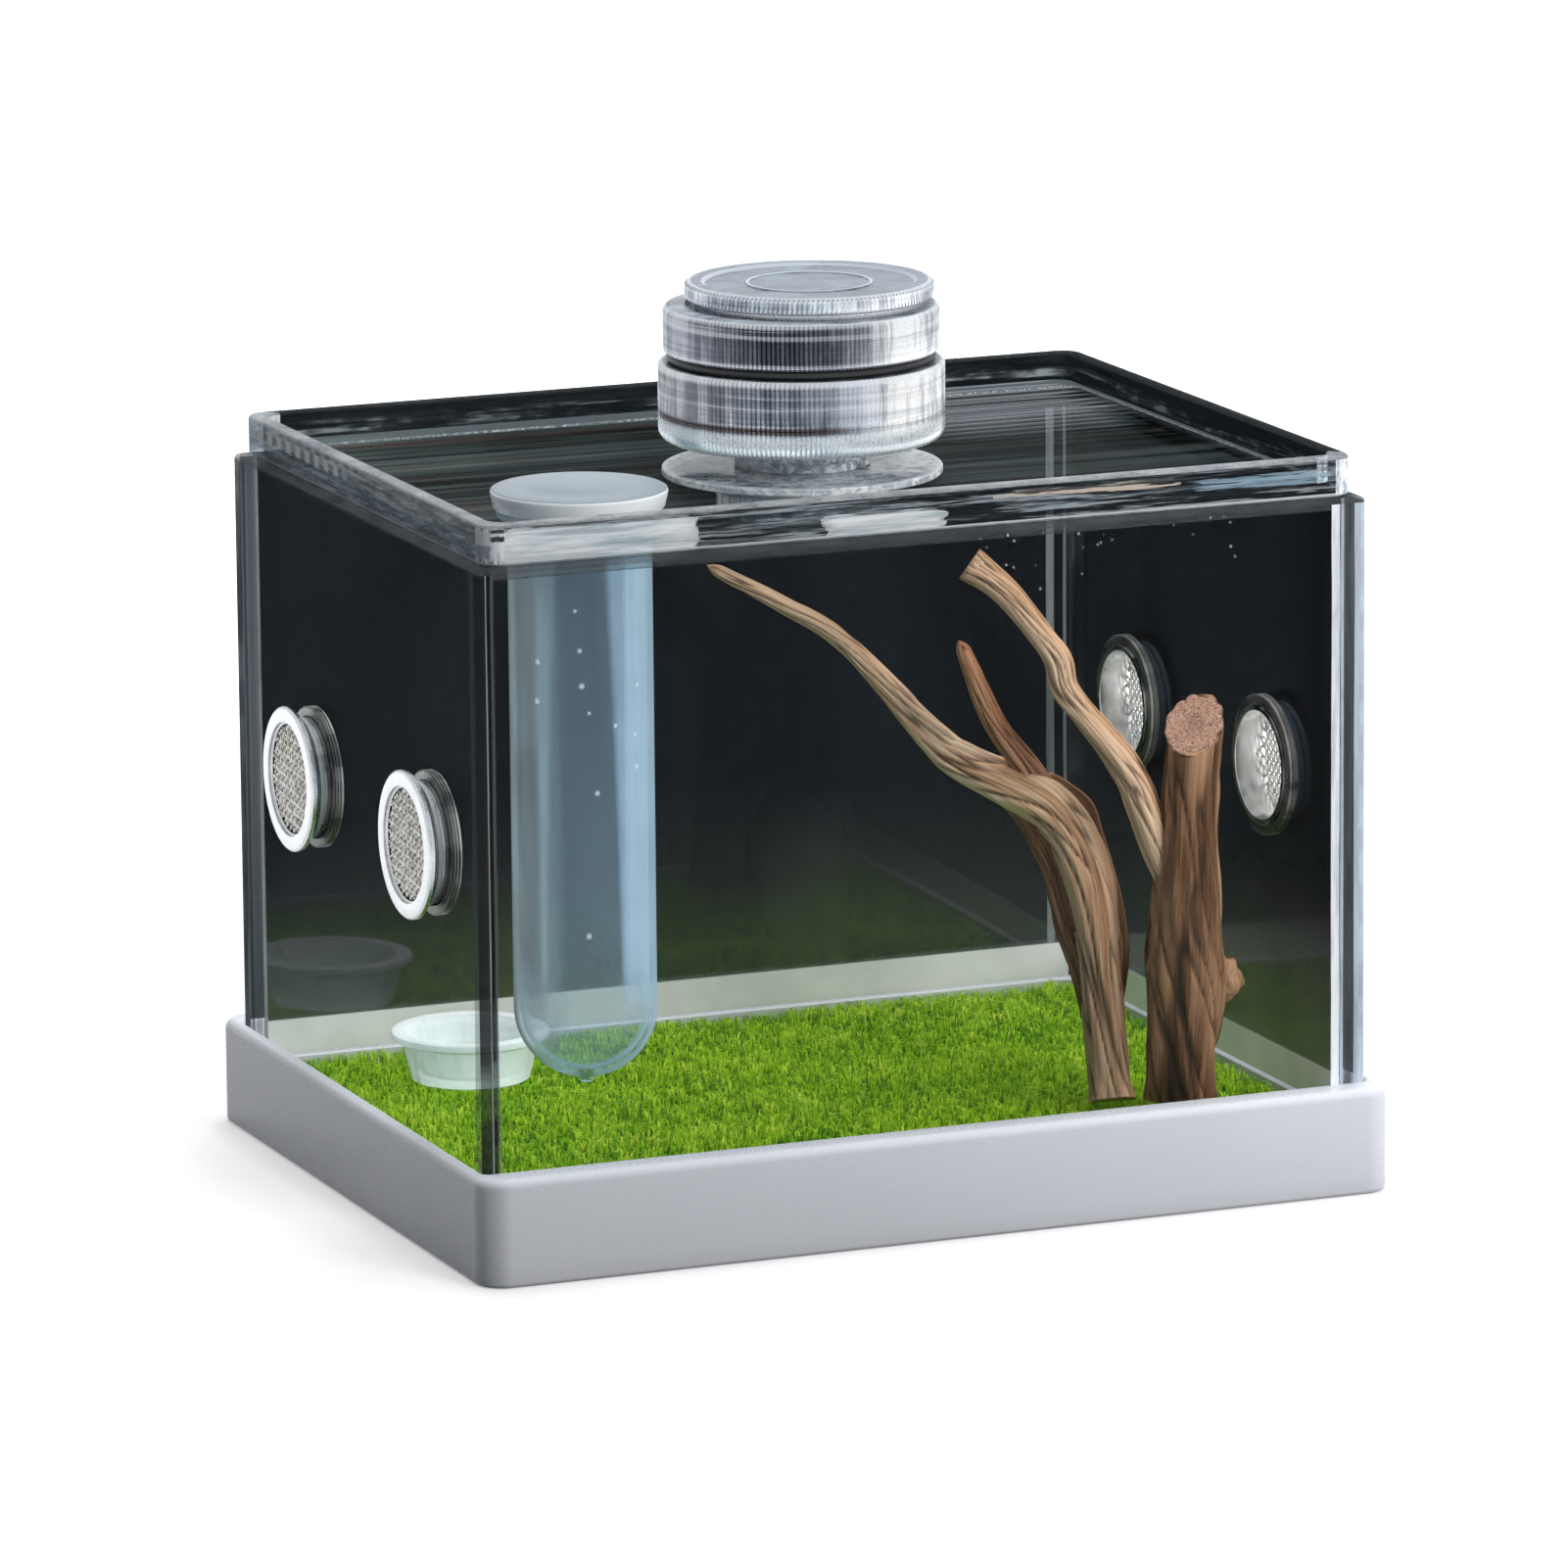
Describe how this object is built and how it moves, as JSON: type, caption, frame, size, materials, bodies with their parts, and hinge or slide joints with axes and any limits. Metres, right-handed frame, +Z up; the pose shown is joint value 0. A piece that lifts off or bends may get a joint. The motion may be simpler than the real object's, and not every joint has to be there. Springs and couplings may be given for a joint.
{
  "type": "spider enclosure",
  "caption": "Clear box with a raised-rim lid on a white tray, with a knurled screw feed port, a hanging feeding tube, four steel mesh vents, turf, a dish and driftwood",
  "frame": {"origin": "middle of the tray's underside, on the surface that it stands on", "axes": "+Z up, +X to the right along the long side as seen from the front, +Y away from the viewer to the back; the hanging tube is at the front left corner"},
  "size_m": [0.18, 0.145, 0.1686],
  "materials": {
    "white_plastic": "moulded, satin gloss",
    "turf": "artificial grass",
    "driftwood": "bare weathered wood",
    "clear_plastic": "clear moulded acrylic",
    "frosted_plastic": "translucent moulded plastic",
    "black_rubber": "matt",
    "bright_steel": "bright turned steel",
    "woven_steel": "plain woven wire"
  },
  "bodies": {
    "base": {"base_tray": "white_plastic", "turf_mat": "turf", "driftwood_trunk": "driftwood", "driftwood_stump": "driftwood"},
    "enclosure": {"clear_body": "clear_plastic", "vent_left_front_flange": "bright_steel", "vent_left_front_ring": "bright_steel", "vent_left_front_mesh": "woven_steel", "vent_left_back_flange": "bright_steel", "vent_left_back_ring": "bright_steel", "vent_left_back_mesh": "woven_steel", "vent_right_front_flange": "bright_steel", "vent_right_front_ring": "bright_steel", "vent_right_front_mesh": "woven_steel", "vent_right_back_flange": "bright_steel", "vent_right_back_ring": "bright_steel", "vent_right_back_mesh": "woven_steel"},
    "lid": {"lid": "clear_plastic", "port_flange": "clear_plastic", "port_nut": "clear_plastic", "port_cup": "clear_plastic"},
    "port_seal": {"port_seal": "black_rubber"},
    "port_cap": {"port_cap": "clear_plastic", "port_cap_disc": "clear_plastic"},
    "tube": {"feeding_tube": "frosted_plastic"},
    "tube_cap": {"tube_cap": "white_plastic"},
    "dish": {"water_dish": "frosted_plastic"}
  },
  "joints": [
    {"name": "body_lift", "type": "slide", "parent": "base", "child": "enclosure", "axis": [0, 0, 1], "range_m": [0, 0.12]},
    {"name": "lid_lift", "type": "slide", "parent": "enclosure", "child": "lid", "axis": [0, 0, 1], "range_m": [0, 0.115]},
    {"name": "seal_rise", "type": "slide", "parent": "lid", "child": "port_seal", "axis": [0, 0, 1], "range_m": [0, 0.0045]},
    {"name": "cap_turn", "type": "hinge", "parent": "port_seal", "child": "port_cap", "pos_m": [-0.003, -0.0125, 0.158], "axis": [0, 0, 1], "range_deg": [0, 540]},
    {"name": "tube_lift", "type": "slide", "parent": "lid", "child": "tube", "axis": [0, 0, 1], "range_m": [0, 0.106]},
    {"name": "tube_cap_pull", "type": "slide", "parent": "tube", "child": "tube_cap", "axis": [0, 0, 1], "range_m": [0, 0.015]},
    {"name": "dish_lift", "type": "slide", "parent": "base", "child": "dish", "axis": [0, 0, 1], "range_m": [0, 0.04]}
  ],
  "couplings": [
    {"joint": "cap_turn", "follows": "seal_rise", "rad_per_m": 2094.4}
  ]
}
